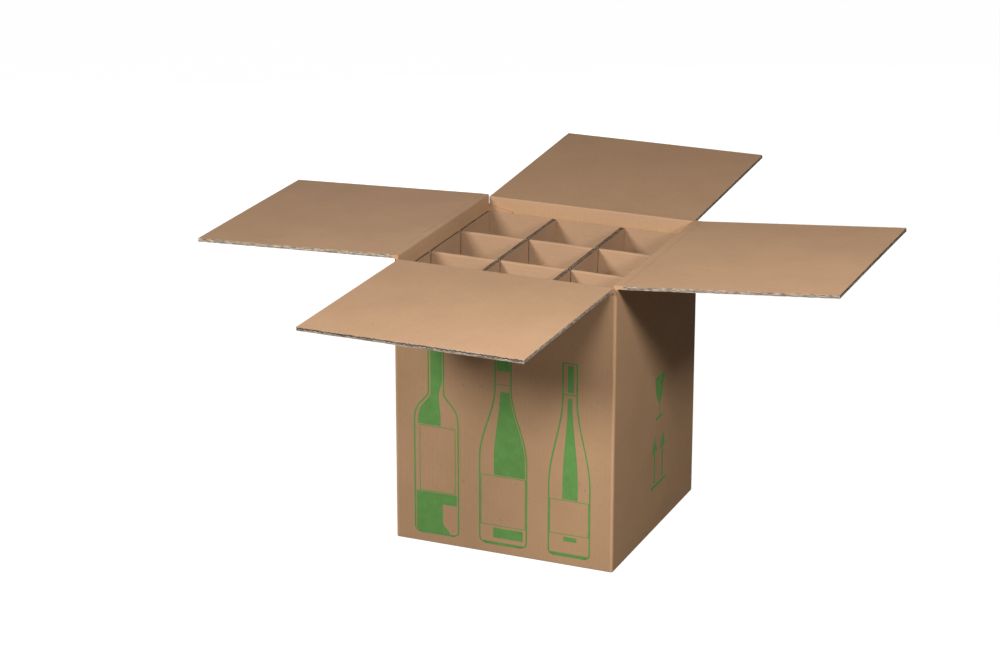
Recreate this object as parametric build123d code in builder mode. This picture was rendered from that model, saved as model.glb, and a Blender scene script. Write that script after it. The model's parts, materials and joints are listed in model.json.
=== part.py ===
"""Shipping box for nine bottles, standing open.

A square carton of double-wall corrugated board, folded from one sheet. Its four lid flaps each
reach right across the mouth, so their creases rise in steps and the closed flaps stack up. Three
folded inserts stand in it side by side, each with three bottle cells.

Origin at the middle of the base, +Z up, +X to the right, +Y to the back. Millimetres.
"""
import os
from math import cos, radians, sin

from build123d import *

# --- Carton ---
box_width = 305.0  # outside, along X
box_depth = 305.0  # outside, along Y
box_height = 380.0  # from the base to the lowest lid crease
board = 4.5  # double-wall corrugated board
corner_radius = 3.0  # outer corners of the folded walls
base_edge_radius = 1.5  # crease round the base
layer_gap = 0.3  # air between flaps that lie on each other

# --- Flaps ---
slot_inset = 5.0  # each flap is this much narrower than its wall, at each side
slot_reach = 1.0  # how far the corner slots reach below the mitre of the lowest crease
flap_end_gap = 13.5  # from a closed flap's free end to the far wall
crease_step = 1.5  # each lid crease is this much above the one before
fold_gap = 0.3  # running clearance at a lid crease

# --- Manufacturer's joint: the glue flap inside the back wall ---
joint_width = 35.0
joint_board = 3.0  # crushed by gluing
joint_slope = 6.0  # its ends draw in this much towards its free edge

# --- Inserts ---
columns = 3
rows = 3
insert_board = 3.0
insert_headroom = 13.0  # from the inserts' tops to the lowest lid crease
insert_clearance = 0.5  # between inserts, and between an insert and a wall
panel_slit = 1.5  # beside each cross wall, between the side panels of two cells

# --- Flaps in the order in which they close: name, outward direction, angle above level ---
up = Vector(0, 0, 1)
lid_flaps = [
    ("front_top_flap", Vector(0, -1, 0), 0.4),
    ("back_top_flap", Vector(0, 1, 0), 3.0),
    ("right_top_flap", Vector(1, 0, 0), 5.2),
    ("left_top_flap", Vector(-1, 0, 0), -2.6),
]
base_flaps = [Vector(-1, 0, 0), Vector(1, 0, 0), Vector(0, 1, 0), Vector(0, -1, 0)]

# --- Worked out from the values above ---
inner_width = box_width - 2 * board
inner_depth = box_depth - 2 * board
rim_height = box_height - board - slot_reach
base_top = len(base_flaps) * board + (len(base_flaps) - 1) * layer_gap

insert_height = box_height - insert_headroom - base_top
insert_depth = inner_depth - joint_board - 2 * insert_clearance
insert_centre_y = -joint_board / 2
column_pitch = (inner_width - insert_clearance) / columns
column_width = column_pitch - insert_clearance
cell_width = column_width - 2 * insert_board
cell_depth = (insert_depth - 2 * insert_board - (rows - 1) * 2 * insert_board) / rows


def wall_half(outward):
    """From the box's middle to the outer face of the wall on that side."""
    return abs(outward.X) * box_width / 2 + abs(outward.Y) * box_depth / 2


def wall_length(outward):
    """The wall's length along its crease."""
    return abs(outward.X) * box_depth + abs(outward.Y) * box_width


def flap_width(outward):
    return wall_length(outward) - 2 * slot_inset


def flap_length(outward):
    """A flap reaches across the box and stops short of the far wall."""
    return 2 * wall_half(outward) - board - flap_end_gap


def side_plane(outward, origin=Vector(0, 0, 0), tilt=0.0):
    """Upright plane across a crease: local x points outwards and up by the tilt."""
    along = outward * cos(radians(tilt)) + up * sin(radians(tilt))
    return Plane(origin=origin, x_dir=along, z_dir=outward.cross(up))


def crease_height(order):
    return box_height + order * crease_step


def hinge_lift(order):
    """Height of a flap's hinge above its crease, so that it closes on the flap before."""
    return order * (board + layer_gap - crease_step) / 2


os.makedirs("parts", exist_ok=True)

# --- Carton body: walls, glue flap and the closed base, folded from one sheet ---
with BuildPart() as carton_body:
    with BuildSketch():
        RectangleRounded(box_width, box_depth, corner_radius)
        Rectangle(inner_width, inner_depth, mode=Mode.SUBTRACT)
    extrude(amount=rim_height)
    base_edges = carton_body.faces().sort_by(Axis.Z)[0].outer_wire().edges()
    fillet(base_edges, base_edge_radius)

    # Each wall runs on from the slots up to its own crease, mitred to take the closed flap.
    for order, outward in enumerate(flap[1] for flap in lid_flaps):
        outer = wall_half(outward)
        top = crease_height(order) - fold_gap
        with BuildSketch(side_plane(outward)):
            with BuildLine():
                Polyline(
                    (outer, rim_height),
                    (outer, top),
                    (outer - board, top - board),
                    (outer - board, rim_height),
                    close=True,
                )
            make_face()
        extrude(amount=flap_width(outward) / 2, both=True)

    # The base: four flaps, folded in one over the other, the first of them outermost.
    for layer, outward in enumerate(base_flaps):
        inner = wall_half(outward) - board
        reach = flap_length(outward) - board
        with BuildSketch(side_plane(outward)):
            with Locations((inner - reach / 2, layer * (board + layer_gap) + board / 2)):
                Rectangle(reach, board)
        extrude(amount=flap_width(outward) / 2, both=True)

    # The glue flap of the left wall, flat against the back wall's inner face.
    joint_foot = base_top + layer_gap
    with BuildSketch(Plane.XZ.offset(-inner_depth / 2)):
        with BuildLine():
            Polyline(
                (-inner_width / 2, joint_foot),
                (-inner_width / 2 + joint_width, joint_foot + joint_slope),
                (-inner_width / 2 + joint_width, rim_height - joint_slope),
                (-inner_width / 2, rim_height),
                close=True,
            )
        make_face()
    extrude(amount=joint_board)
carton_body.part.label = "carton_body"
export_step(carton_body.part, "parts/carton_body.step")

# --- Lid flaps, lying open: each root is bevelled to meet its wall's mitre when it closes ---
for order, (name, outward, rest_angle) in enumerate(lid_flaps):
    lift = hinge_lift(order)
    hinge = outward * (wall_half(outward) + lift + fold_gap) + up * (crease_height(order) + lift)
    root = fold_gap - lift
    tip = flap_length(outward) - lift - fold_gap
    with BuildPart() as top_flap:
        with BuildSketch(side_plane(outward, hinge, rest_angle)):
            with BuildLine():
                Polyline(
                    (root, -lift),
                    (tip, -lift),
                    (tip, board - lift),
                    (root + board, board - lift),
                    close=True,
                )
            make_face()
        extrude(amount=flap_width(outward) / 2, both=True)
    top_flap.part.label = name
    export_step(top_flap.part, f"parts/{name}.step")

# --- Inserts: one folded sheet for each column of cells ---
row_pitch = cell_depth + 2 * insert_board
cross_walls = [
    insert_centre_y + (row - (rows - 2) / 2) * row_pitch for row in range(rows - 1)
]
insert_names = ["insert_left", "insert_middle", "insert_right"]

for column, name in enumerate(insert_names):
    centre_x = (column - (columns - 1) / 2) * column_pitch
    with BuildPart() as insert:
        with BuildSketch(Plane.XY.offset(base_top)):
            with Locations((centre_x, insert_centre_y)):
                Rectangle(column_width, insert_depth)
        extrude(amount=insert_height)
        with BuildSketch(Plane.XY.offset(base_top + insert_board)):
            with Locations((centre_x, insert_centre_y)):
                Rectangle(cell_width, insert_depth - 2 * insert_board)
        extrude(amount=insert_height, mode=Mode.SUBTRACT)

        # Cross walls: the sheet goes up, over a rounded fold and down again.
        with BuildSketch(Plane.YZ.offset(centre_x)):
            for wall_y in cross_walls:
                with Locations((wall_y, base_top + (insert_height - insert_board) / 2)):
                    Rectangle(2 * insert_board, insert_height - insert_board)
                with Locations((wall_y, base_top + insert_height - insert_board)):
                    Circle(insert_board)
        extrude(amount=cell_width / 2, both=True)

        # Slits that part the side panels of one cell from those of the next.
        slit_height = insert_height - insert_board
        panel_offset = (column_width - insert_board) / 2
        slit_places = [
            (centre_x + side * panel_offset,
             wall_y - insert_board - panel_slit / 2,
             base_top + insert_board + slit_height / 2)
            for side in (-1, 1)
            for wall_y in cross_walls
        ]
        with Locations(*slit_places):
            Box(insert_board, panel_slit, slit_height, mode=Mode.SUBTRACT)
    insert.part.label = name
    export_step(insert.part, f"parts/{name}.step")
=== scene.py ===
"""Looks of the open bottle carton: fluted board, folded creases, inserts and green print."""
import json
from math import cos, pi, radians, sin, sqrt

import bmesh
import bpy
from mathutils import Matrix, Vector, noise


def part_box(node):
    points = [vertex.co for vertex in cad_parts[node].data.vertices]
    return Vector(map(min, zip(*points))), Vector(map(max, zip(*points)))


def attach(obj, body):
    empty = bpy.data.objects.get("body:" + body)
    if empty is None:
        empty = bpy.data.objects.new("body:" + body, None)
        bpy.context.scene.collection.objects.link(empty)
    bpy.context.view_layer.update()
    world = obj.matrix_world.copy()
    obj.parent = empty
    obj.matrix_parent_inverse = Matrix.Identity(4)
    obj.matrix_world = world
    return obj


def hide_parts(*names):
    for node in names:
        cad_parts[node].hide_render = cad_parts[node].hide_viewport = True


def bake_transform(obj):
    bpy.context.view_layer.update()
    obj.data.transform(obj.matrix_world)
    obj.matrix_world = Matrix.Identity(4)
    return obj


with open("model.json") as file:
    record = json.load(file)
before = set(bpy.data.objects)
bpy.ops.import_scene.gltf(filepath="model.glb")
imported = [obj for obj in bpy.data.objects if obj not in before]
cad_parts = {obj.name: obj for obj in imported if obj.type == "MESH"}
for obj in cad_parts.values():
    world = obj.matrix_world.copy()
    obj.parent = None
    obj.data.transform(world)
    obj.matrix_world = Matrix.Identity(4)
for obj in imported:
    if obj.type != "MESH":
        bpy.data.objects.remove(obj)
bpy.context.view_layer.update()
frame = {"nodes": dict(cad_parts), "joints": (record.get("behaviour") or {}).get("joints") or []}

MM = 0.001
UP = Vector((0, 0, 1))
TO_RIGHT = Vector((1, 0, 0))
TO_BACK = Vector((0, 1, 0))

# --- Board: its layers from the outer liner to the inner liner ---
BOARD = 4.5 * MM
LINER = 0.38 * MM
MEDIUM = 0.42 * MM
FINE_FLUTE = 1.2 * MM
FINE_PITCH = 3.3 * MM
COARSE_FLUTE = BOARD - 3 * LINER - FINE_FLUTE
COARSE_PITCH = 6.5 * MM
FLUTE_STEPS = 10  # along one wave
INSERT_BOARD = 3.0 * MM
INSERT_LINER = 0.34 * MM
INSERT_FLUTE = INSERT_BOARD - 2 * INSERT_LINER - 0.2 * MM  # a little crushed

# Each layer is its flutes' pitch, or none for a liner, and its depth.
DOUBLE_WALL = [
    (None, LINER),
    (FINE_PITCH, FINE_FLUTE),
    (None, LINER),
    (COARSE_PITCH, COARSE_FLUTE),
    (None, LINER),
]
SINGLE_WALL = [(None, INSERT_LINER), (COARSE_PITCH, INSERT_FLUTE), (None, INSERT_LINER)]

# A board's materials, in order: its liners' outer faces, what is inside it (the fluting's brown,
# painted much darker as shade in the flutes), its cut edges, and the faces of an insert whose flutes
# lie level.
FACE, INSIDE, CUT, LEVEL_FLUTES = range(4)

# --- Places, from the frame ---
body_low, body_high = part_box("carton_body")
HALF = body_high.x
FOLD_GAP = 0.3 * MM
SIDES = {"front": -TO_BACK, "back": TO_BACK, "right": TO_RIGHT, "left": -TO_RIGHT}
creases = {joint["name"].split("_")[0]: joint for joint in frame["joints"]}
FLAP_TILT = {side: 180 - joint["range_deg"][1] for side, joint in creases.items()}

# --- Colours ---
LINER_COLOUR = (0.500, 0.306, 0.180)
OUTER_COLOUR = (0.440, 0.266, 0.148)
INSERT_COLOUR = (0.430, 0.267, 0.160)
# painted shade: the inside of the board, the fluting's own brown darkened to stand for the shade in its
# flutes
INSIDE_BROWN_AND_SHADE = (0.130, 0.090, 0.062)
CUT_COLOUR = (0.520, 0.430, 0.340)
# the insert's cut edges: their own grey-brown, darkened further as painted shade of the flute openings
INSERT_CUT_AND_SHADE_COLOUR = (0.300, 0.225, 0.160)
INK_COLOUR = (0.125, 0.285, 0.076)
INNER_GAIN = 1.14  # the walls' inner liner against their outer one
CORNER_HIGHLIGHT_GAIN = 1.28  # painted highlight along the scored upright corners, against the walls
MATT = 0.06  # paper hardly shines


# ---------------------------------------------------------------- materials
class Nodes:
    """A material's node tree, with short calls for the nodes used here."""

    def __init__(self, name):
        self.material = bpy.data.materials.new(name)
        self.material.use_nodes = True
        self.tree = self.material.node_tree
        self.shader = self.tree.nodes["Principled BSDF"]
        self.shader.inputs["Specular IOR Level"].default_value = MATT

    def add(self, kind, **values):
        node = self.tree.nodes.new(kind)
        for key, value in values.items():
            if hasattr(node, key):
                setattr(node, key, value)
            else:
                node.inputs[key.replace("_", " ")].default_value = value
        return node

    def link(self, out, into):
        self.tree.links.new(out, into)

    def math(self, operation, first, second=0.0):
        node = self.add("ShaderNodeMath", operation=operation)
        for socket, value in zip(node.inputs, (first, second)):
            if isinstance(value, (int, float)):
                socket.default_value = value
            else:
                self.link(value, socket)
        return node.outputs[0]

    def object_point(self):
        return self.add("ShaderNodeTexCoord").outputs["Object"]

    def noise(self, point, scale, stretch=(1, 1, 1), detail=3.0):
        mapping = self.add("ShaderNodeMapping")
        mapping.inputs["Scale"].default_value = stretch
        self.link(point, mapping.inputs["Vector"])
        node = self.add("ShaderNodeTexNoise", Scale=scale, Detail=detail, Roughness=0.55)
        self.link(mapping.outputs[0], node.inputs["Vector"])
        return node.outputs["Fac"]

    def ramp(self, value, low, high, to_low=0.0, to_high=1.0):
        node = self.add("ShaderNodeMapRange")
        for key, number in (("From Min", low), ("From Max", high),
                            ("To Min", to_low), ("To Max", to_high)):
            node.inputs[key].default_value = number
        self.link(value, node.inputs["Value"])
        return node.outputs[0]

    def wander(self, point, scale, low, high, stretch=(1, 1, 1), detail=4.0):
        """A factor that wanders between low and high in soft patches."""
        return self.ramp(self.noise(point, scale, stretch, detail), 0.3, 0.7, low, high)

    def scaled_colour(self, colour, factors):
        """The colour times each factor in turn."""
        node = self.add("ShaderNodeRGB")
        node.outputs[0].default_value = (*colour, 1)
        result = node.outputs[0]
        for factor in factors:
            scale = self.add("ShaderNodeVectorMath", operation="SCALE")
            self.link(result, scale.inputs[0])
            self.link(factor, scale.inputs["Scale"])
            result = scale.outputs[0]
        return result


def flute_waves(nodes, point, across):
    """A sine over the flutes along x, y or z, or along an upright wall, whichever way it runs."""
    split = nodes.add("ShaderNodeSeparateXYZ")
    nodes.link(point, split.inputs[0])
    if across == "wall":
        facing = nodes.add("ShaderNodeSeparateXYZ")
        nodes.link(nodes.add("ShaderNodeNewGeometry").outputs["True Normal"], facing.inputs[0])
        sideways = nodes.math("GREATER_THAN", nodes.math("ABSOLUTE", facing.outputs["X"]), 0.7)
        over_y = nodes.math("MULTIPLY", split.outputs["Y"], sideways)
        over_x = nodes.math("MULTIPLY", split.outputs["X"], nodes.math("SUBTRACT", 1.0, sideways))
        run = nodes.math("ADD", over_x, over_y)
    else:
        run = split.outputs[across.upper()]
    return nodes.math("SINE", nodes.math("MULTIPLY", run, 2 * pi / COARSE_PITCH))


def kraft(name, colour, across, washboard=0.12, grain=(1, 1, 1), extra=None):
    """Brown kraft liner: mottled, fibrous, speckled; its flutes show faintly as bumps and painted
    shade.
    extra(nodes, point) gives further factors of its colour."""
    nodes = Nodes(name)
    point = nodes.object_point()
    mottle = nodes.wander(point, 14, 0.96, 1.04)
    cloud = nodes.wander(point, 3.2, 0.97, 1.03, detail=2)
    fibres = nodes.wander(point, 380, 0.975, 1.025, grain)
    flecks = nodes.ramp(nodes.noise(point, 260, detail=2), 0.68, 0.76, 1.0, 0.78)
    patchy = nodes.ramp(nodes.noise(point, 22, detail=2), 0.35, 0.7, 0.2, 1.0)
    ridges = nodes.math("MULTIPLY", flute_waves(nodes, point, across), patchy)
    # faint painted shade and light in stripes over the flutes, besides their bump
    shade = nodes.ramp(ridges, -1, 1, 0.988, 1.01)
    factors = [mottle, cloud, fibres, flecks, shade]
    if extra:
        factors += extra(nodes, point)
    nodes.link(nodes.scaled_colour(colour, factors), nodes.shader.inputs["Base Color"])
    height = nodes.math("ADD", nodes.math("MULTIPLY", ridges, washboard),
                        nodes.math("MULTIPLY", fibres, 0.5))
    bump = nodes.add("ShaderNodeBump", Strength=0.2, Distance=0.2 * MM)
    nodes.link(height, bump.inputs["Height"])
    nodes.link(bump.outputs[0], nodes.shader.inputs["Normal"])
    nodes.shader.inputs["Roughness"].default_value = 0.82
    return nodes.material


def liner_tone_and_corner_highlight(nodes, point):
    """The inner liner is paler than the outer one; the scored upright corners get a painted highlight.
    """
    split = nodes.add("ShaderNodeSeparateXYZ")
    nodes.link(point, split.inputs[0])
    from_x = nodes.math("ABSOLUTE", split.outputs["X"])
    from_y = nodes.math("ABSOLUTE", split.outputs["Y"])
    furthest = nodes.math("MAXIMUM", from_x, from_y)
    nearest = nodes.math("MINIMUM", from_x, from_y)
    inner_face = HALF - BOARD
    inside = nodes.ramp(furthest, inner_face + 0.2 * MM, inner_face + 0.6 * MM, INNER_GAIN, 1.0)
    # a painted highlight along the upright corners
    corner = nodes.ramp(nearest, HALF - 4.5 * MM, HALF - 2.0 * MM, 1.0, CORNER_HIGHLIGHT_GAIN)
    return [inside, corner]


def cut_paper_and_gap_shade(nodes, point):
    """A torn and crushed edge: pale paper, broken by patches of painted shade for the gaps between its
    layers.
    """
    layers = nodes.noise(point, 330, (0.35, 0.35, 2.2), 3)
    # the darker patches are painted shade of the gaps; the paler ones are the paper's own tone
    return [nodes.ramp(layers, 0.40, 0.60, 0.42, 1.25)]


def ink(name, colour):
    """Flexographic ink: thin, a little patchy, with the board's fibres showing."""
    nodes = Nodes(name)
    point = nodes.object_point()
    patches = nodes.wander(point, 60, 0.93, 1.08)
    fibres = nodes.wander(point, 420, 0.93, 1.07, (1, 1, 0.3))
    nodes.link(nodes.scaled_colour(colour, [patches, fibres]), nodes.shader.inputs["Base Color"])
    nodes.shader.inputs["Roughness"].default_value = 0.7
    return nodes.material


kraft_x = kraft("inner_liner_x", LINER_COLOUR, "x", grain=(1, 0.15, 1))
kraft_y = kraft("inner_liner_y", LINER_COLOUR, "y", grain=(0.15, 1, 1))
kraft_wall = kraft("outer_liner", OUTER_COLOUR, "wall", grain=(1, 1, 0.2), extra=liner_tone_and_corner_highlight)
insert_upright = kraft("insert_liner_upright", INSERT_COLOUR, "wall", grain=(1, 1, 0.2))
insert_level = kraft("insert_liner_level", INSERT_COLOUR, "z", washboard=0.3, grain=(0.2, 0.2, 1))
# the board's inside, painted dark as the shade in its flutes
board_inside_shaded = kraft("board_inside_shaded", INSIDE_BROWN_AND_SHADE, "x", washboard=0.0)
cut_paper = kraft("cut_edge", CUT_COLOUR, "z", washboard=0.0, extra=cut_paper_and_gap_shade)
insert_cut = kraft("insert_cut_edge", INSERT_CUT_AND_SHADE_COLOUR, "z", washboard=0.0, extra=cut_paper_and_gap_shade)
green = ink("green_ink", INK_COLOUR)


# ---------------------------------------------------------------- meshes
def finish_piece(name, bm, materials, body=None):
    """Makes the bmesh an object with these materials, riding on a body."""
    mesh = bpy.data.meshes.new(name)
    bm.to_mesh(mesh)
    bm.free()
    for material in materials:
        mesh.materials.append(material)
    piece = bpy.data.objects.new(name, mesh)
    bpy.context.scene.collection.objects.link(piece)
    if body:
        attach(piece, body)
    return piece


SHARP_FOLD = 40  # degrees


def smooth_faces(bm):
    """Smooth shading, but for edges that turn by more than a sharp fold."""
    for face in bm.faces:
        face.smooth = True
    for edge in bm.edges:
        edge.smooth = edge.calc_face_angle(0) < radians(SHARP_FOLD)


def add_part(board, part, index=None):
    """Adds a part's mesh to a board's, all of it with one of its materials if an index is given."""
    if index is not None:
        for face in part.faces:
            face.material_index = index
    scratch = bpy.data.meshes.new("scratch")
    part.to_mesh(scratch)
    part.free()
    board.from_mesh(scratch)
    bpy.data.meshes.remove(scratch)


def move_to(bm, origin, x_axis, y_axis):
    """Moves a mesh made about the origin to a frame with these axes."""
    z_axis = x_axis.cross(y_axis)
    turn = Matrix((x_axis, y_axis, z_axis)).transposed().to_4x4()
    bmesh.ops.transform(bm, matrix=Matrix.Translation(origin) @ turn, verts=bm.verts[:])


def draw_out(outline, travel, steps):
    """A closed outline drawn out along a straight line in even steps, with both ends closed."""
    bm = bmesh.new()
    cap = bm.faces.new([bm.verts.new(point) for point in outline])
    for step in range(steps):
        made = bmesh.ops.extrude_face_region(bm, geom=[cap])
        moved = [item for item in made["geom"] if isinstance(item, bmesh.types.BMVert)]
        bmesh.ops.translate(bm, verts=moved, vec=travel / steps)
        if step:
            bmesh.ops.delete(bm, geom=[cap], context="FACES_ONLY")
        cap = next(item for item in made["geom"] if isinstance(item, bmesh.types.BMFace))
    return bm


# ---------------------------------------------------------------- corrugated board
def skin(width, length, thickness, height, segments, curve):
    """A thin sheet, width over x and length over y, at curve(x, y) plus a height, as a closed shell."""
    bm = bmesh.new()
    bmesh.ops.create_grid(bm, x_segments=segments[0], y_segments=segments[1], size=0.5,
                          matrix=Matrix.Diagonal((width, length, 1, 1)))
    for vert in bm.verts:
        vert.co.z = height + curve(vert.co.x, vert.co.y)
    bmesh.ops.solidify(bm, geom=bm.faces[:], thickness=thickness)
    bmesh.ops.recalc_face_normals(bm, faces=bm.faces[:])
    return bm


def layer_material(normal, lowest, highest):
    """Which of a board's materials a face of one layer takes, by the way it faces."""
    if max(abs(normal.x), abs(normal.y)) > 0.9 and abs(normal.z) < 0.3:
        return CUT
    if (highest and normal.z > 0.5) or (lowest and normal.z < -0.5):
        return FACE
    return INSIDE


def corrugated(width, length, layers, bend=lambda x, y: 0.0, steps=6, liner_steps=40):
    """A board of liners and fluting, from z = 0 up; the flutes run along y."""
    board = bmesh.new()
    level = 0.0
    last = len(layers) - 1
    for number, (pitch, depth) in enumerate(layers):
        if pitch is None:
            sheet = skin(width, length, depth, level + depth, (liner_steps, steps * 2), bend)
        else:
            swing = (depth - MEDIUM) / 2

            def wave(x, y, pitch=pitch, swing=swing):
                return bend(x, y) + swing * sin(2 * pi * x / pitch)

            segments = (round(width / pitch * FLUTE_STEPS), steps)
            sheet = skin(width, length, MEDIUM, level + (depth + MEDIUM) / 2, segments, wave)
        for face in sheet.faces:
            face.material_index = layer_material(face.normal, number == 0, number == last)
        add_part(board, sheet)
        level += depth
    return board


TEAR_STEP = 1.6 * MM
TEAR_DEPTH = 1.1 * MM
TEAR_PAPER = 0.3 * MM


def crushed_edge(board, width, length, side, bend):
    """The ragged paper of a board cut along its flutes, on one side edge."""
    low = LINER * 0.6
    high = BOARD - low
    strip = bmesh.new()
    bmesh.ops.create_grid(strip, x_segments=4, y_segments=round(length / TEAR_STEP), size=0.5)
    for vert in strip.verts:
        along = vert.co.y * length
        up = low + (vert.co.x + 0.5) * (high - low)
        ragged = noise.noise(Vector((along * 420, up * 700, side * 9))) * 0.5 + 0.5
        across = width / 2 - 0.1 * MM - ragged * TEAR_DEPTH
        vert.co = Vector((side * across, along, up + bend(side * width / 2, along)))
    bmesh.ops.solidify(strip, geom=strip.faces[:], thickness=TEAR_PAPER * side)
    bmesh.ops.recalc_face_normals(strip, faces=strip.faces[:])
    add_part(board, strip, CUT)


# ---------------------------------------------------------------- lid flaps
FLAP_BOW = {"front": 0.10 * MM, "back": 0.10 * MM, "right": 0.18 * MM, "left": 0.20 * MM}
FLAP_TRIM = 0.4 * MM  # the bowed board ends this much inside the flat one
CREASE_REACH = 5.5 * MM  # from the fold to where the flap's own board starts
CREASE_LAP = 2.0 * MM  # the crease runs on this far over the flap's board
CREASE_DROP = 9.0 * MM  # and this far down the wall
CREASE_TAPER = 3.0 * MM
CREASE_RADIUS = 1.5 * MM
CREASE_PROUD = 0.06 * MM
CREASE_SUNK = CREASE_PROUD * 0.8  # its edges dip this far into the board
OUTER_SCORE = 1.0 * MM  # the outer liner's bend, cut straight across
CREASE_STEPS = 150
BEAD_REACH = 4.0 * MM
ROUND_STEPS = 8


def flap_frame(side):
    """Of an open flap: its hinge point, the hinge's lift over the crease, its direction away from
    the box, its upper face's normal, and its width."""
    hinge = Vector(creases[side]["pos_m"])
    outward = SIDES[side]
    lift = hinge.dot(outward) - HALF - FOLD_GAP
    tilt = radians(FLAP_TILT[side])
    along = outward * cos(tilt) + UP * sin(tilt)
    normal = -outward * sin(tilt) + UP * cos(tilt)
    low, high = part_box(f"{side}_top_flap")
    width = (high - low).dot(Vector((abs(outward.y), abs(outward.x), 0)))
    return hinge, lift, along, normal, width


def flap_liner(side):
    return kraft_x if side in ("front", "back") else kraft_y


def lid_flap(side):
    """A flap's fluted board from its crease out, its sides bowed down a little towards its tip."""
    hinge, lift, along, normal, width = flap_frame(side)
    node = f"{side}_top_flap"
    low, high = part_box(node)
    outward = SIDES[side]
    tip = max(abs(low.dot(outward)), abs(high.dot(outward)))
    reach = (tip - hinge.dot(outward)) / cos(radians(FLAP_TILT[side]))
    start = CREASE_REACH - lift
    length = reach - start - FLAP_TRIM

    def bend(x, y):
        towards_tip = y / length + 0.5
        return FLAP_BOW[side] * towards_tip * (cos(pi * x / width) - 1)

    bm = corrugated(width, length, DOUBLE_WALL, bend)
    for edge in (-1, 1):
        crushed_edge(bm, width, length, edge, bend)
    middle = hinge + along * (start + length / 2) - normal * lift
    move_to(bm, middle, along.cross(normal), along)
    materials = [flap_liner(side), board_inside_shaded, cut_paper]
    piece = finish_piece(f"{side}_flap_board", bm, materials, f"{side}_flap")
    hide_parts(node)


def crease_outline(root, outward, along, normal):
    """The crease's cross-section, from its foot inside the wall, over the fold and back outside."""
    fold = BOARD + CREASE_PROUD
    flap_end = CREASE_REACH + CREASE_LAP
    points = [
        root - outward * (BOARD - CREASE_SUNK) - UP * CREASE_DROP,
        root - outward * fold - UP * (CREASE_DROP - CREASE_TAPER),
    ]
    centre = root - outward * fold + normal * fold + (outward - normal) * CREASE_RADIUS
    for turn in range(ROUND_STEPS + 1):
        angle = pi - (pi / 2) * turn / ROUND_STEPS
        points.append(centre + (outward * cos(angle) + normal * sin(angle)) * CREASE_RADIUS)
    points += [
        root + along * (flap_end - CREASE_TAPER) + normal * fold,
        root + along * flap_end + normal * (BOARD - CREASE_SUNK),
        root + along * flap_end - normal * CREASE_PROUD,
        root + along * OUTER_SCORE - normal * CREASE_PROUD,
        root + outward * CREASE_PROUD - UP * OUTER_SCORE,
        root + outward * CREASE_PROUD - UP * CREASE_DROP,
    ]
    return points


def crease(side):
    """The board bent over a lid crease: its inner liner turns outwards over a tight, beaded ridge."""
    hinge, lift, along, normal, width = flap_frame(side)
    outward = SIDES[side]
    root = hinge - outward * (lift + FOLD_GAP) - UP * lift
    lateral = along.cross(normal)
    outline = [point - lateral * width / 2 for point in crease_outline(root, outward, along, normal)]
    bm = draw_out(outline, lateral * width, CREASE_STEPS)
    ridge_line = root + (normal - outward) * (BOARD + CREASE_PROUD)
    for vert in bm.verts:
        away = vert.co - ridge_line
        near = max(0.0, 1 - (away - lateral * away.dot(lateral)).length / BEAD_REACH)
        bead = 0.15 + noise.noise(vert.co * 190) * 0.45 + noise.noise(vert.co * 60) * 0.15
        vert.co += normal * bead * near * MM
    bmesh.ops.recalc_face_normals(bm, faces=bm.faces[:])
    smooth_faces(bm)
    piece = finish_piece(f"{side}_crease", bm, [flap_liner(side)])
    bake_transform(piece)


# ---------------------------------------------------------------- inserts
ROWS = 3
PANEL_SLIT = 1.5 * MM
PANEL_EASE = 0.1 * MM
PANEL_BULGE = 1.2 * MM
FOLD_SAG = 1.2 * MM
FOLD_SWAY = 0.5 * MM
FOLD_STEPS = 16
INSERT_MATERIALS = [insert_upright, board_inside_shaded, insert_cut, insert_level]


def folded_wall(width, centre, foot, top):
    """A cross wall: the sheet folded back on itself over a rounded top edge, a little uneven."""
    half = INSERT_BOARD - PANEL_EASE
    start = Vector((centre.x - width / 2, centre.y, 0))
    outline = [start + Vector((0, -half, foot))]
    for turn in range(ROUND_STEPS + 1):
        angle = pi - pi * turn / ROUND_STEPS
        outline.append(start + Vector((0, half * cos(angle), top - half + half * sin(angle))))
    outline.append(start + Vector((0, half, foot)))
    fold = draw_out(outline, TO_RIGHT * width, FOLD_STEPS)
    for vert in fold.verts:
        if vert.co.z > foot + 1 * MM:
            vert.co.z -= (0.5 + 0.5 * noise.noise(vert.co * 35)) * FOLD_SAG
            vert.co.y += noise.noise(vert.co * 14) * FOLD_SWAY
    bmesh.ops.recalc_face_normals(fold, faces=fold.faces[:])
    smooth_faces(fold)
    return fold


def end_panel(inner, height, origin, across):
    """The panel that closes a row of cells, with its flutes level."""
    panel = corrugated(height, inner, SINGLE_WALL, steps=2, liner_steps=6)
    move_to(panel, origin, UP, across)
    return panel


def side_panel(width, height, bulge, origin, across):
    """One cell's side panel, which bellies out towards its free top."""
    def bend(x, y):
        return -bulge * cos(pi * x / width) * (y / height + 0.5)

    panel = corrugated(width, height, SINGLE_WALL, bend, steps=2, liner_steps=12)
    move_to(panel, origin, across, UP)
    return panel


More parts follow.
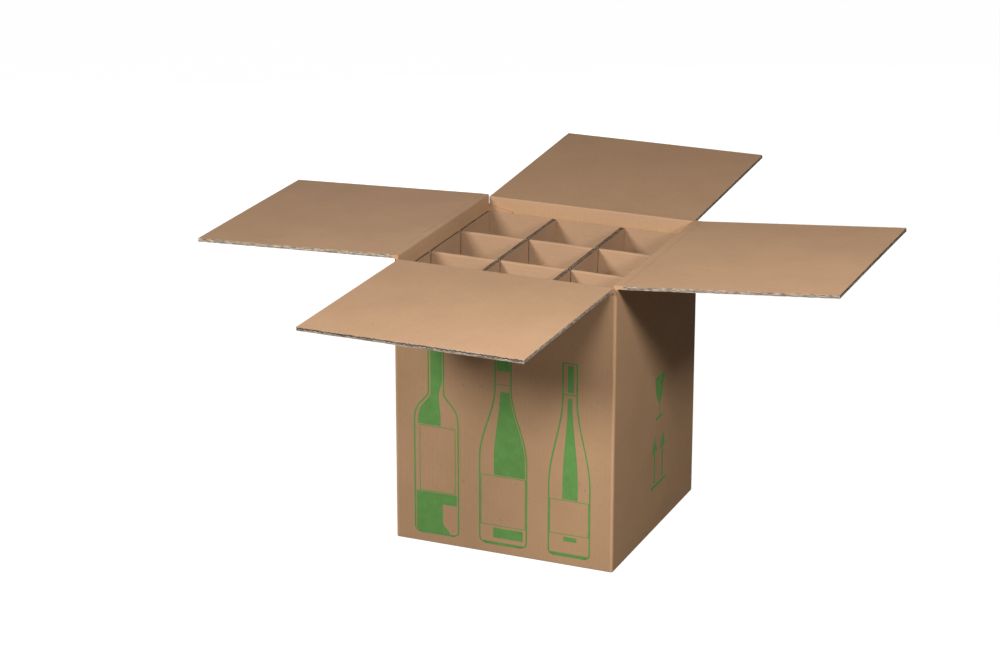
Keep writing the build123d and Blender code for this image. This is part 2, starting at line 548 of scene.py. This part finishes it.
def insert(node):
    """One folded insert: floor, end panels, three side panels each side and two folded cross walls."""
    low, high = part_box(node)
    size = high - low
    centre = (low + high) / 2
    cell = (size.y - 2 * INSERT_BOARD * ROWS) / ROWS
    inner = size.x - 2 * INSERT_BOARD
    height = size.z - INSERT_BOARD
    foot = low.z + INSERT_BOARD
    sheet = corrugated(size.x - 2 * PANEL_EASE, size.y - 2 * PANEL_EASE, SINGLE_WALL, steps=2)
    move_to(sheet, Vector((centre.x, centre.y, low.z)), TO_RIGHT, TO_BACK)
    for end, sign in ((low.y + PANEL_EASE, 1), (high.y - PANEL_EASE, -1)):
        origin = Vector((centre.x, end, foot + height / 2))
        add_part(sheet, end_panel(inner, height, origin, TO_RIGHT * sign), LEVEL_FLUTES)
    for row in range(ROWS):
        start = low.y + INSERT_BOARD + row * (cell + 2 * INSERT_BOARD)
        width = cell - (PANEL_SLIT if row < ROWS - 1 else 0.0)
        for sign, face in ((-1, low.x), (1, high.x)):
            bulge = abs(noise.noise(Vector((row * 3.1, face * 40, 1.7)))) * PANEL_BULGE
            origin = Vector((face - sign * PANEL_EASE, start + width / 2, foot + height / 2))
            add_part(sheet, side_panel(width, height, bulge, origin, TO_BACK * -sign))
    for row in range(ROWS - 1):
        middle = low.y + 2 * INSERT_BOARD + cell + row * (cell + 2 * INSERT_BOARD)
        wall = folded_wall(inner, Vector((centre.x, middle, 0)), foot, high.z)
        add_part(sheet, wall, LEVEL_FLUTES)
    piece = finish_piece(f"{node}_sheet", sheet, INSERT_MATERIALS, "carton")
    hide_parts(node)


# ---------------------------------------------------------------- print
PRINT_RAISE = 0.06 * MM
INK_LINE = 2.2 * MM
THIN_LINE = 1.0 * MM
FILL_GAP = 3.2 * MM


class Film:
    """Flat printed shapes on one upright face, each between two side lines over a span of heights."""

    def __init__(self, name, origin, right):
        self.name = name
        self.origin = origin
        self.right = right
        self.bm = bmesh.new()

    def span(self, bottom, top, left, right, steps=1):
        """left and right give the shape's two sides at a height."""
        made = bmesh.ops.create_grid(self.bm, x_segments=1, y_segments=steps, size=0.5)
        for vert in made["verts"]:
            up = bottom + (vert.co.y + 0.5) * (top - bottom)
            across = left(up) if vert.co.x < 0 else right(up)
            vert.co = self.origin + self.right * across + UP * up

    def bar(self, left, bottom, right, top):
        self.span(bottom, top, lambda up: left, lambda up: right)

    def box_lines(self, left, bottom, right, top, line):
        self.bar(left, bottom, right, bottom + line)
        self.bar(left, top - line, right, top)
        self.bar(left, bottom + line, left + line, top - line)
        self.bar(right - line, bottom + line, right, top - line)

    def printed(self):
        outward = self.right.cross(UP)
        made = bmesh.ops.extrude_face_region(self.bm, geom=self.bm.faces[:])
        moved = [item for item in made["geom"] if isinstance(item, bmesh.types.BMVert)]
        bmesh.ops.translate(self.bm, verts=moved, vec=outward * PRINT_RAISE)
        bmesh.ops.recalc_face_normals(self.bm, faces=self.bm.faces[:])
        finish_piece(self.name, self.bm, [green], "carton")


class Bottle:
    """A bottle's outline: its radius at each height over its foot."""

    def __init__(self, radius, body_top, neck_radius, neck_foot, top, base_round, squareness):
        self.radius = radius
        self.body_top = body_top
        self.neck_radius = neck_radius
        self.neck_foot = neck_foot
        self.top = top
        self.base_round = base_round
        self.squareness = squareness

    def at(self, up):
        if up < self.base_round:
            drop = self.base_round - up
            return self.radius - self.base_round + sqrt(max(0.0, self.base_round ** 2 - drop ** 2))
        if up < self.body_top:
            return self.radius
        if up < self.neck_foot:
            share = (up - self.body_top) / (self.neck_foot - self.body_top)
            fall = 0.5 + 0.5 * cos(pi * share ** self.squareness)
            return self.neck_radius + (self.radius - self.neck_radius) * fall
        return self.neck_radius

    def slope(self, up):
        """How much wider a line of even width is across, where the side leans."""
        step = 0.5 * MM
        lean = (self.at(up + step) - self.at(up - step)) / (2 * step)
        return sqrt(1 + min(lean * lean, 6.0))

    def inside(self, up, gap):
        """The radius inside a gap of even width."""
        return self.at(up) - gap * self.slope(up)

    def outline(self, film, foot):
        """The two sides, and the foot as a solid band."""
        for side in (-1, 1):
            film.span(0.0, self.top, lambda up: side * self.inside(up, INK_LINE),
                      lambda up: side * self.at(up), 90)
        film.span(0.0, foot, lambda up: -self.inside(up, INK_LINE),
                  lambda up: self.inside(up, INK_LINE), 3)

    def fill(self, film, bottom, top, left, right, steps=40):
        """Colour between two shares of the inner radius; the right one may change with the height."""
        right_share = right if callable(right) else lambda up: right
        film.span(bottom, top, lambda up: left * self.inside(up, FILL_GAP),
                  lambda up: right_share(up) * self.inside(up, FILL_GAP), steps)


def tall_bottle():
    """Straight body and full shoulders, with colour over and under a bare, framed label."""
    bottle = Bottle(radius=32 * MM, body_top=146 * MM, neck_radius=11.8 * MM, neck_foot=199 * MM,
                    top=300 * MM, base_round=8 * MM, squareness=2.2)
    film = Film("print_tall_bottle", Vector((-94 * MM, body_low.y, 12.5 * MM)), TO_RIGHT)
    foot = 2.6 * MM
    label_foot, label_top = 60 * MM, 152 * MM
    shine_foot, shine_top = 176 * MM, 214 * MM
    notch_round, notch_top = 16 * MM, 44 * MM

    def shine(up):
        """The bare strip down the shoulder runs out at the neck."""
        rise = min(1.0, max(0.0, (up - shine_foot) / (shine_top - shine_foot)))
        return 0.22 + 0.78 * rise ** 2

    def notch(up):
        """The bare corner at the foot."""
        return 0.3 + 0.5 * max(0.0, 1 - up / notch_round)

    bottle.outline(film, foot)
    bottle.fill(film, label_top + THIN_LINE, shine_top, -0.9, shine)
    bottle.fill(film, shine_top, bottle.top - 2 * MM, -0.9, 1.0, 2)
    film.box_lines(-24 * MM, label_foot, 27 * MM, label_top, THIN_LINE)
    bottle.fill(film, foot, notch_top, -1.0, notch, 16)
    bottle.fill(film, notch_top, label_foot - THIN_LINE, -1.0, 1.0, 2)
    film.printed()


def sloping_bottle():
    """Shoulders that slope all the way to the neck, with a coloured capsule and a bare label."""
    bottle = Bottle(radius=34 * MM, body_top=118 * MM, neck_radius=12 * MM, neck_foot=222 * MM,
                    top=296 * MM, base_round=9 * MM, squareness=1.0)
    film = Film("print_sloping_bottle", Vector((0, body_low.y, 12 * MM)), TO_RIGHT)
    label_half, label_foot, label_top = 31.6 * MM, 27 * MM, 97 * MM
    collar_half, collar = 9.6 * MM, 223 * MM
    bottle.outline(film, 4 * MM)
    bottle.fill(film, label_top + THIN_LINE, 214 * MM, -0.42, 1.0)
    bottle.fill(film, 242 * MM, bottle.top - 2 * MM, -1.0, 1.0, 2)
    film.box_lines(-label_half, label_foot, label_half, label_top, THIN_LINE)
    film.bar(-collar_half, collar, collar_half, collar + THIN_LINE)
    bottle.fill(film, 10 * MM, 24 * MM, -0.45, 0.9, 6)
    film.printed()


def slim_bottle():
    """The narrow one, with a capped neck."""
    bottle = Bottle(radius=29.5 * MM, body_top=96 * MM, neck_radius=10.7 * MM, neck_foot=222 * MM,
                    top=267 * MM, base_round=7 * MM, squareness=1.0)
    film = Film("print_slim_bottle", Vector((92 * MM, body_low.y, 11.5 * MM)), TO_RIGHT)
    label_half, label_foot, label_top = 27.1 * MM, 31 * MM, 79 * MM
    collar_half, collar, collar_line = 8.4 * MM, 223 * MM, 1.6 * MM
    bottle.outline(film, 5 * MM)
    film.bar(-collar_half, bottle.top - collar_line, collar_half, bottle.top)
    film.bar(-collar_half, collar, collar_half, collar + collar_line)
    bottle.fill(film, label_top + THIN_LINE, 219 * MM, -0.36, 0.45)
    bottle.fill(film, 227 * MM, 263 * MM, -0.4, 0.7, 2)
    film.box_lines(-label_half, label_foot, label_half, label_top, THIN_LINE)
    bottle.fill(film, 22 * MM, 28 * MM, -0.3, 0.4, 2)
    film.printed()


SIGN_CENTRE = Vector((body_high.x, 14 * MM, 0))


def glass_sign():
    """Fragile: a cracked stemmed glass."""
    film = Film("print_glass_sign", SIGN_CENTRE, TO_BACK)
    base_foot, stem_foot = 154 * MM, 158 * MM
    bowl_foot, crack_foot, bowl_top = 176 * MM, 194 * MM, 215 * MM
    rim, stem, base = 17 * MM, 1.4 * MM, 12 * MM
    crack_swing, crack_half = 3 * MM, 1.1 * MM

    def bowl(up):
        share = (up - bowl_foot) / (bowl_top - bowl_foot)
        return stem + (rim - stem) * sin(pi / 2 * share) ** 0.6

    def crack(up):
        share = (up - crack_foot) / (bowl_top - crack_foot)
        return crack_swing * sin(share * 3 * pi)

    film.span(bowl_foot, crack_foot, lambda up: -bowl(up), bowl, 12)
    film.span(crack_foot, bowl_top, lambda up: -bowl(up), lambda up: crack(up) - crack_half, 12)
    film.span(crack_foot, bowl_top, lambda up: crack(up) + crack_half, bowl, 12)
    film.bar(-stem, stem_foot, stem, bowl_foot)
    film.bar(-base, base_foot, base, stem_foot)
    film.printed()


def arrow_sign():
    """This way up: two arrows on a bar."""
    film = Film("print_arrow_sign", SIGN_CENTRE, TO_BACK)
    bar_foot, bar_top = 60 * MM, 64 * MM
    shaft_foot, head_foot, tip = 67 * MM, 110 * MM, 133 * MM
    spread, shaft, head, bar = 15 * MM, 2.4 * MM, 10 * MM, 27 * MM
    for across in (-spread, spread):
        film.bar(across - shaft, shaft_foot, across + shaft, head_foot)
        film.span(head_foot, tip, lambda up: across - head * (tip - up) / (tip - head_foot),
                  lambda up: across + head * (tip - up) / (tip - head_foot))
    film.bar(-bar, bar_foot, bar, bar_top)
    film.printed()


# ---------------------------------------------------------------- scene
def seen_rays(tree):
    """One for the rays that show a thing: seen directly, mirrored or through glass."""
    paths = tree.nodes.new("ShaderNodeLightPath")
    result = paths.outputs["Is Camera Ray"]
    for flag in ("Is Glossy Ray", "Is Transmission Ray"):
        either = tree.nodes.new("ShaderNodeMath")
        either.operation = "MAXIMUM"
        tree.links.new(result, either.inputs[0])
        tree.links.new(paths.outputs[flag], either.inputs[1])
        result = either.outputs[0]
    return result


def white_floor():
    """Grey under the light, so that it throws little of it back, but seen as white with the shadow."""
    floor_mesh = bmesh.new()
    bmesh.ops.create_grid(floor_mesh, x_segments=1, y_segments=1, size=15)
    mesh = bpy.data.meshes.new("floor")
    floor_mesh.to_mesh(mesh)
    floor_mesh.free()
    floor = bpy.data.objects.new("floor", mesh)
    floor.location.z = -0.5 * MM
    bpy.context.scene.collection.objects.link(floor)
    nodes = Nodes("floor")
    nodes.shader.inputs["Base Color"].default_value = (0.16, 0.16, 0.16, 1)
    nodes.shader.inputs["Roughness"].default_value = 0.9
    glow = nodes.add("ShaderNodeEmission", Strength=0.96)
    lifted = nodes.add("ShaderNodeAddShader")
    mix = nodes.add("ShaderNodeMixShader")
    output = nodes.tree.nodes["Material Output"]
    nodes.link(nodes.shader.outputs[0], lifted.inputs[0])
    nodes.link(glow.outputs[0], lifted.inputs[1])
    nodes.link(seen_rays(nodes.tree), mix.inputs[0])
    nodes.link(nodes.shader.outputs[0], mix.inputs[1])
    nodes.link(lifted.outputs[0], mix.inputs[2])
    nodes.link(mix.outputs[0], output.inputs["Surface"])
    mesh.materials.append(nodes.material)


def white_world():
    """A dim, even light, but seen as white."""
    world = bpy.data.worlds.new("studio")
    bpy.context.scene.world = world
    world.use_nodes = True
    tree = world.node_tree
    background = tree.nodes["Background"]
    background.inputs["Color"].default_value = (1, 1, 1, 1)
    background.inputs["Strength"].default_value = 0.065
    white = tree.nodes.new("ShaderNodeBackground")
    white.inputs["Strength"].default_value = 1.0
    mix = tree.nodes.new("ShaderNodeMixShader")
    tree.links.new(seen_rays(tree), mix.inputs[0])
    tree.links.new(background.outputs[0], mix.inputs[1])
    tree.links.new(white.outputs[0], mix.inputs[2])
    tree.links.new(mix.outputs[0], tree.nodes["World Output"].inputs["Surface"])


def lamp(name, stand, aim_height, size, power):
    """A round lamp, aimed at this height on the box's axis."""
    data = bpy.data.lights.new(name, "AREA")
    data.shape = "DISK"
    data.size = size
    data.energy = power
    light = bpy.data.objects.new(name, data)
    light.location = stand
    aim = Vector((0, 0, aim_height)) - Vector(stand)
    light.rotation_euler = aim.to_track_quat("-Z", "Y").to_euler()
    bpy.context.scene.collection.objects.link(light)


def camera(stand, down, turn, lens):
    """A camera looking this many degrees down, and turned this many to the left of straight back."""
    data = bpy.data.cameras.new("camera")
    data.lens = lens
    data.sensor_width = 36
    data.clip_end = 50
    view = bpy.data.objects.new("camera", data)
    view.location = stand
    view.rotation_euler = (radians(90 - down), 0, radians(turn))
    bpy.context.scene.collection.objects.link(view)
    bpy.context.scene.camera = view


camera((1.3849, -3.4203, 1.5610), down=19.493, turn=23.03, lens=106.8)
white_floor()
white_world()
lamp("key", (0.4, -0.9, 1.15), aim_height=0.3, size=0.35, power=6.5)
lamp("side", (1.2, -0.7, 1.05), aim_height=0.25, size=0.22, power=9)
lamp("front", (-0.7, -2.05, 1.34), aim_height=0.25, size=0.5, power=40)
lamp("rear", (-1.2, 2.0, 0.30), aim_height=0.25, size=0.6, power=22)
bpy.context.scene.view_settings.view_transform = "Standard"

carton = frame["nodes"]["carton_body"]
carton.data.materials.clear()
carton.data.materials.append(kraft_wall)
for side in SIDES:
    lid_flap(side)
    crease(side)
for node in ("insert_left", "insert_middle", "insert_right"):
    insert(node)
tall_bottle()
sloping_bottle()
slim_bottle()
glass_sign()
arrow_sign()
